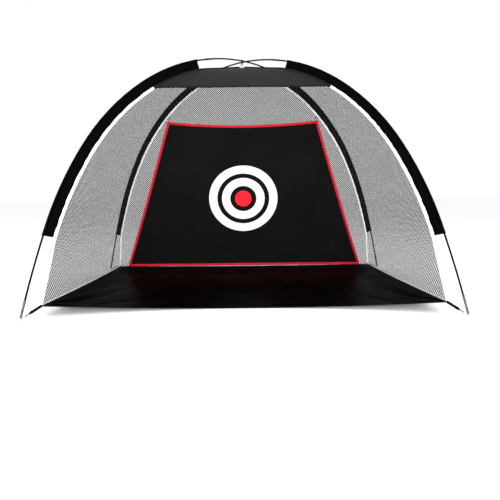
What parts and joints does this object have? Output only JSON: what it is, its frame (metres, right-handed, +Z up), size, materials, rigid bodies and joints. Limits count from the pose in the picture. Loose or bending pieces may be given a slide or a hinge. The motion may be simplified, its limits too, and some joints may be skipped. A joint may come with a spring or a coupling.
{
  "type": "golf chipping net",
  "caption": "Free-standing dome net on two crossed sprung poles, open at the front, with a hanging target cloth, a visor and a floor sheet.",
  "frame": {"origin": "middle of the footprint, on the ground", "axes": "+X to the player's right across the width, +Y away from the player towards the back net, +Z up; the open front faces -Y"},
  "size_m": [3.0656, 1.5449, 2.077],
  "materials": {
    "fibreglass": "satin black",
    "steel": "drawn steel tube",
    "pin_steel": "bright wire",
    "ring_steel": "zinc plated",
    "shock_cord": "braided",
    "webbing": "woven, matt",
    "sleeve_cloth": "plain weave, slight sheen",
    "white_tape": "woven tape",
    "netting": "knotless mesh",
    "visor_cloth": "plain weave",
    "floor_cloth": "coated, slightly glossy",
    "cord": "braided",
    "target_cloth": "matt with printed white and red rings",
    "red_tape": "woven tape",
    "toggle_plastic": "moulded"
  },
  "bodies": {
    "dome": {"pole_a_section_01": "fibreglass", "pole_a_section_02": "fibreglass", "pole_a_section_03": "fibreglass", "pole_a_section_04": "fibreglass", "pole_a_section_05": "fibreglass", "pole_a_section_06": "fibreglass", "pole_a_section_07": "fibreglass", "pole_a_section_08": "fibreglass", "pole_a_section_09": "fibreglass", "pole_b_section_01": "fibreglass", "pole_b_section_02": "fibreglass", "pole_b_section_03": "fibreglass", "pole_b_section_04": "fibreglass", "pole_b_section_05": "fibreglass", "pole_b_section_06": "fibreglass", "pole_b_section_07": "fibreglass", "pole_b_section_08": "fibreglass", "pole_b_section_09": "fibreglass", "pole_a_ferrules": "steel", "shock_cord_a": "shock_cord", "pole_b_ferrules": "steel", "shock_cord_b": "shock_cord", "tip_front_left": "steel", "pin_front_left": "pin_steel", "strap_front_left": "webbing", "sleeve_front_left": "sleeve_cloth", "binding_front_left": "white_tape", "tip_front_right": "steel", "pin_front_right": "pin_steel", "strap_front_right": "webbing", "sleeve_front_right": "sleeve_cloth", "binding_front_right": "white_tape", "tip_back_left": "steel", "pin_back_left": "pin_steel", "strap_back_left": "webbing", "sleeve_back_left": "sleeve_cloth", "binding_back_left": "white_tape", "tip_back_right": "steel", "pin_back_right": "pin_steel", "strap_back_right": "webbing", "sleeve_back_right": "sleeve_cloth", "binding_back_right": "white_tape", "side_net_left": "netting", "side_net_right": "netting", "back_net": "netting", "visor": "visor_cloth", "floor_sheet": "floor_cloth", "crossing_tie": "cord"},
    "ring_front_left": {"ring_front_left": "ring_steel"},
    "ring_front_right": {"ring_front_right": "ring_steel"},
    "ring_back_left": {"ring_back_left": "ring_steel"},
    "ring_back_right": {"ring_back_right": "ring_steel"},
    "target": {"target_cloth": "target_cloth", "target_edge": "red_tape", "tie_top_left": "cord", "tie_top_right": "cord", "tie_low_left": "cord", "tie_low_right": "cord", "toggle_left": "toggle_plastic", "toggle_right": "toggle_plastic"}
  },
  "joints": [
    {"name": "target_swing", "type": "hinge", "parent": "dome", "child": "target", "pos_m": [0, 0.378, 1.632], "axis": [-1, 0, 0], "range_deg": [0, 60]},
    {"name": "ring_front_left_rock", "type": "hinge", "parent": "dome", "child": "ring_front_left", "pos_m": [-1.50942, -0.75223, 0.01896], "axis": [0.767, 0.3822, 0.5154], "range_deg": [-8, 8]},
    {"name": "ring_front_right_rock", "type": "hinge", "parent": "dome", "child": "ring_front_right", "pos_m": [1.50943, -0.75224, 0.01896], "axis": [-0.767, 0.3822, 0.5154], "range_deg": [-8, 8]},
    {"name": "ring_back_left_rock", "type": "hinge", "parent": "dome", "child": "ring_back_left", "pos_m": [-1.50765, 0.75136, 0.01455], "axis": [0.8543, -0.4258, 0.2981], "range_deg": [-8, 8]},
    {"name": "ring_back_right_rock", "type": "hinge", "parent": "dome", "child": "ring_back_right", "pos_m": [1.50764, 0.75135, 0.01455], "axis": [-0.8543, -0.4258, 0.2982], "range_deg": [-8, 8]}
  ]
}
